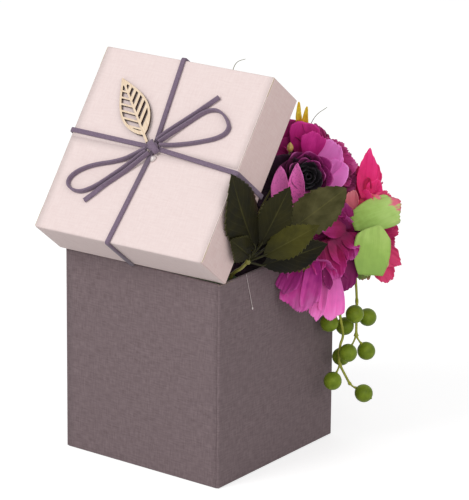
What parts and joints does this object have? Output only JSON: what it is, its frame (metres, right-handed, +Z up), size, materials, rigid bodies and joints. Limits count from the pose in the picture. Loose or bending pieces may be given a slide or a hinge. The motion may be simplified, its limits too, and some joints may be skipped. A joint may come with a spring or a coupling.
{
  "type": "flower box",
  "caption": "Square cloth-paper gift box filled with artificial flowers, its tied lift-off lid propped open on the front rim.",
  "frame": {"origin": "centre of the box's foot sheet, on the surface that it stands on", "axes": "+Z up, -Y out of the front wall that the open lid leans over, +X towards the wall that the flowers hang over"},
  "size_m": [0.186, 0.1926, 0.2734],
  "materials": {
    "grey_cloth_paper": "matte, woven",
    "greyboard": "matte",
    "kraft_tape": "matte",
    "dark_paper": "matte",
    "floral_foam": "matte, open cells",
    "light_pink_petal": "matte",
    "plum_petal": "satin",
    "stem_plastic": "satin",
    "magenta_petal": "matte",
    "crimson_petal": "matte",
    "hot_pink_petal": "matte",
    "green_petal": "matte",
    "dark_leaf": "satin",
    "berry_plastic": "satin",
    "grass_plastic": "satin",
    "yellow_fabric": "matte",
    "cream_cloth_paper": "matte, woven",
    "white_paper": "matte",
    "suede_cord": "matte, napped",
    "birch_veneer": "matte, laser cut",
    "bamboo": "matte",
    "hot_glue": "satin"
  },
  "bodies": {
    "box": {"base_foot_sheet": "grey_cloth_paper", "base_bottom_board": "greyboard", "base_front_board": "greyboard", "base_back_board": "greyboard", "base_left_board": "greyboard", "base_right_board": "greyboard", "base_corner_stays": "kraft_tape", "base_wrap_sides": "grey_cloth_paper", "base_wrap_faces": "grey_cloth_paper", "base_liner": "dark_paper", "foam_block": "floral_foam", "ranunculus_petals": "light_pink_petal", "ranunculus_heart": "plum_petal", "ranunculus_stem": "stem_plastic", "upper_bloom_petals": "magenta_petal", "upper_bloom_stem": "stem_plastic", "carnation_petals": "crimson_petal", "carnation_stem": "stem_plastic", "pink_bloom_petals": "hot_pink_petal", "pink_bloom_stem": "stem_plastic", "green_bloom_petals": "green_petal", "green_bloom_stem": "stem_plastic", "middle_bloom_petals": "crimson_petal", "middle_bloom_stem": "stem_plastic", "low_bloom_petals": "magenta_petal", "low_bloom_stem": "stem_plastic", "leaf_spray_leaves": "dark_leaf", "leaf_spray_stem": "stem_plastic", "berry_stalks": "stem_plastic", "berries": "berry_plastic", "grass_wisps": "grass_plastic", "yellow_blades": "yellow_fabric", "flower_bud": "stem_plastic"},
    "lid": {"lid_top_board": "greyboard", "lid_front_board": "greyboard", "lid_back_board": "greyboard", "lid_left_board": "greyboard", "lid_right_board": "greyboard", "lid_corner_stays": "kraft_tape", "lid_wrap_sides": "cream_cloth_paper", "lid_wrap_cover": "cream_cloth_paper", "lid_liner": "white_paper", "cord_run_across": "suede_cord", "cord_run_along": "suede_cord", "bow_knot": "suede_cord", "bow_loop_left": "suede_cord", "bow_loop_right": "suede_cord", "bow_tail_left": "suede_cord", "bow_tail_right": "suede_cord", "wood_leaf": "birch_veneer", "lid_picks": "bamboo", "pick_glue": "hot_glue"}
  },
  "joints": [
    {"name": "lid_lift", "type": "slide", "parent": "box", "child": "lid", "axis": [0.041, -0.7815, 0.6225], "range_m": [0, 0.15]}
  ]
}
